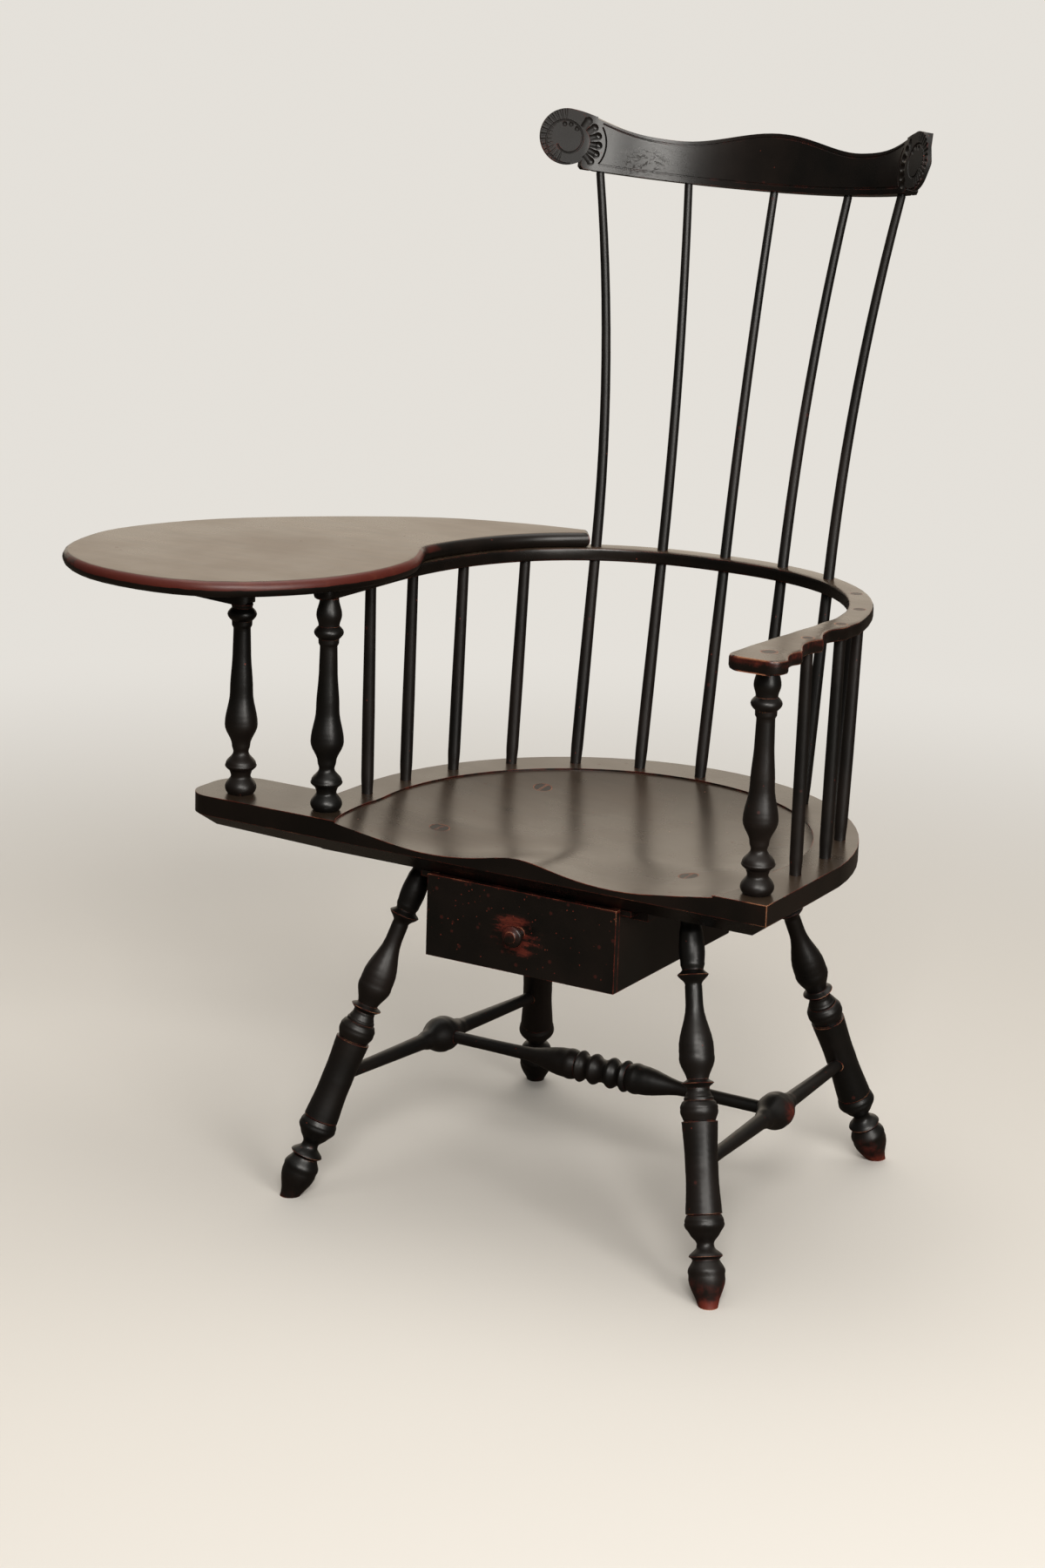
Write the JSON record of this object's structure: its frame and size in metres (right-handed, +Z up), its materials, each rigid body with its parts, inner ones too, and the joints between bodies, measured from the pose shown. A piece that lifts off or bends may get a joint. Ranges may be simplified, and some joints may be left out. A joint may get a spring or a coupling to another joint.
{
  "type": "writing arm windsor chair",
  "caption": "Comb-back Windsor armchair with a paddle-shaped writing tablet on one arm, turned splayed legs, a scooped plank seat and a drawer that slides out under the seat.",
  "frame": {"origin": "on the floor, under the middle of the chair's bounding box", "axes": "+Z up; -Y is the chair's front, the way the sitter faces; the tablet is on the -X side, the sitter's right"},
  "size_m": [0.8696, 0.6662, 1.158],
  "materials": {
    "seat_paint": "satin milk paint, black over red, rubbed at the edges",
    "turned_paint": "satin milk paint, black over red, rubbed at the edges",
    "wedge_wood": "end grain under worn paint",
    "arm_paint": "satin milk paint, black over red, rubbed at the edges",
    "spindle_paint": "satin milk paint, black over red, rubbed at the edges",
    "comb_paint": "satin milk paint, black over red, rubbed at the edges",
    "tablet_paint": "satin milk paint, black over red, rubbed at the edges",
    "screw_steel": "dull",
    "drawer_paint": "satin milk paint, black over red, rubbed at the edges",
    "drawer_wood": "bare, waxed"
  },
  "bodies": {
    "chair": {"seat": "seat_paint", "leg_front_left": "turned_paint", "leg_front_right": "turned_paint", "leg_rear_left": "turned_paint", "leg_rear_right": "turned_paint", "leg_wedges": "wedge_wood", "stretcher_left": "turned_paint", "stretcher_right": "turned_paint", "stretcher_middle": "turned_paint", "post_outer_left": "turned_paint", "post_inner_left": "turned_paint", "post_right": "turned_paint", "arm_bow": "arm_paint", "arm_wedges": "wedge_wood", "short_spindle_left_1": "spindle_paint", "short_spindle_left_2": "spindle_paint", "short_spindle_left_3": "spindle_paint", "short_spindle_left_4": "spindle_paint", "short_spindle_right_1": "spindle_paint", "short_spindle_right_2": "spindle_paint", "short_spindle_right_3": "spindle_paint", "short_spindle_right_4": "spindle_paint", "long_spindle_1": "spindle_paint", "long_spindle_2": "spindle_paint", "long_spindle_3": "spindle_paint", "long_spindle_4": "spindle_paint", "long_spindle_5": "spindle_paint", "comb": "comb_paint", "comb_pegs": "comb_paint", "tablet": "tablet_paint", "tablet_cleat": "arm_paint", "tablet_screws": "screw_steel", "runner_left": "drawer_paint", "runner_right": "drawer_paint", "runner_screws": "screw_steel"},
    "drawer": {"drawer_front": "drawer_paint", "drawer_side_left": "drawer_wood", "drawer_side_right": "drawer_wood", "drawer_back": "drawer_wood", "drawer_bottom": "drawer_wood", "drawer_rail_left": "drawer_paint", "drawer_rail_right": "drawer_paint", "drawer_knob": "drawer_paint"}
  },
  "joints": [
    {"name": "drawer_slide", "type": "slide", "parent": "chair", "child": "drawer", "axis": [0, -1, 0], "range_m": [0, 0.19]}
  ]
}
